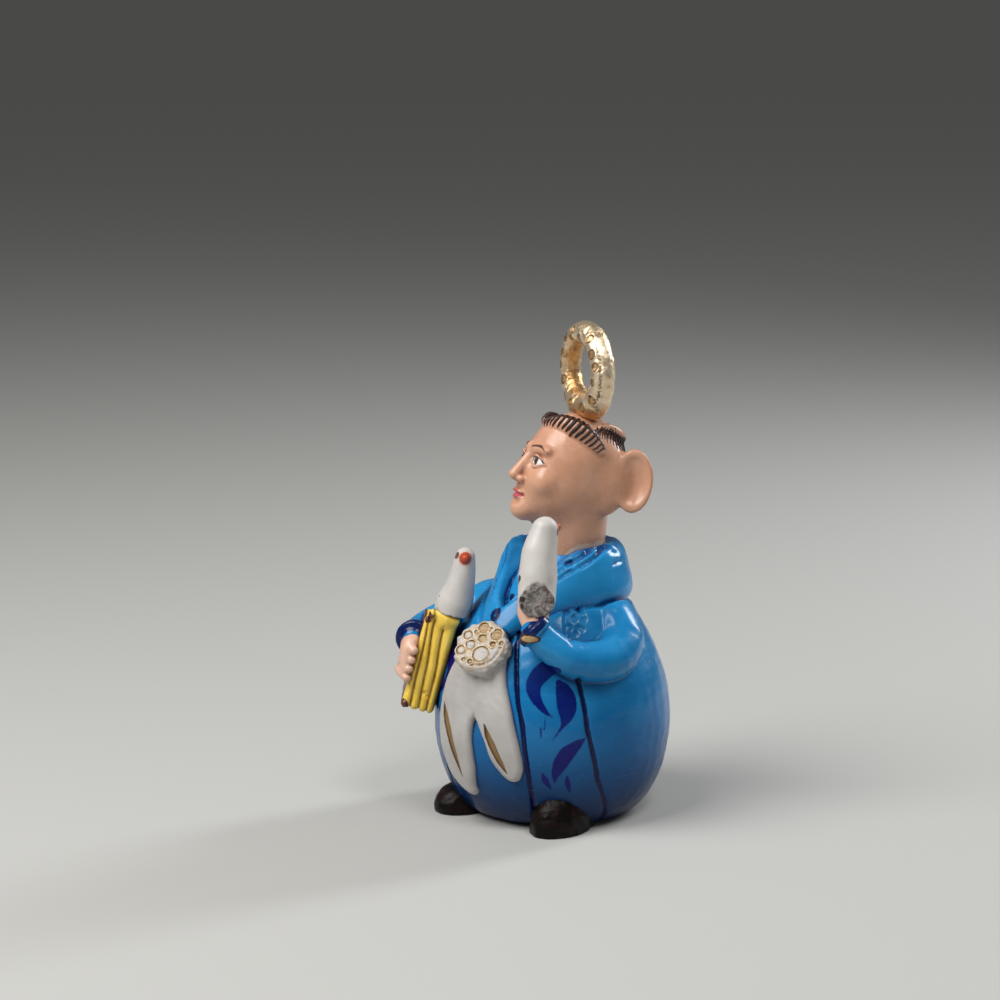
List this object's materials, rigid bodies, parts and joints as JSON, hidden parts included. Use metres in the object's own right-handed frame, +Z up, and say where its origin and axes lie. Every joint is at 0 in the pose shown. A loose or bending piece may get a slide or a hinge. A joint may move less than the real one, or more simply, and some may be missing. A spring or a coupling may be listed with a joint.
{
  "type": "terracotta saint statuette",
  "caption": "Hand-modelled clay saint in a round blue robe and rolled cowl, head thrown back under a gilded ring halo, holding a dove and a book; rosette and ribbon tails on the belly",
  "frame": {"origin": "middle of the flat underside, on the surface that the figure stands on", "axes": "the figure faces -Y, its left hand is on the +X side, +Z is up through the body and the halo"},
  "size_m": [0.0527, 0.0509, 0.1024],
  "materials": {
    "painted_clay": "fired clay under glossy enamel paint: blue robe, flesh head and hands, white doves, rosette and ribbon, yellow pages, black-brown shoes",
    "gilded_clay": "fired clay under pale champagne-gold leaf, amber in the hollows"
  },
  "bodies": {
    "root": {"saint_figure": "painted_clay", "halo": "gilded_clay"}
  },
  "joints": []
}
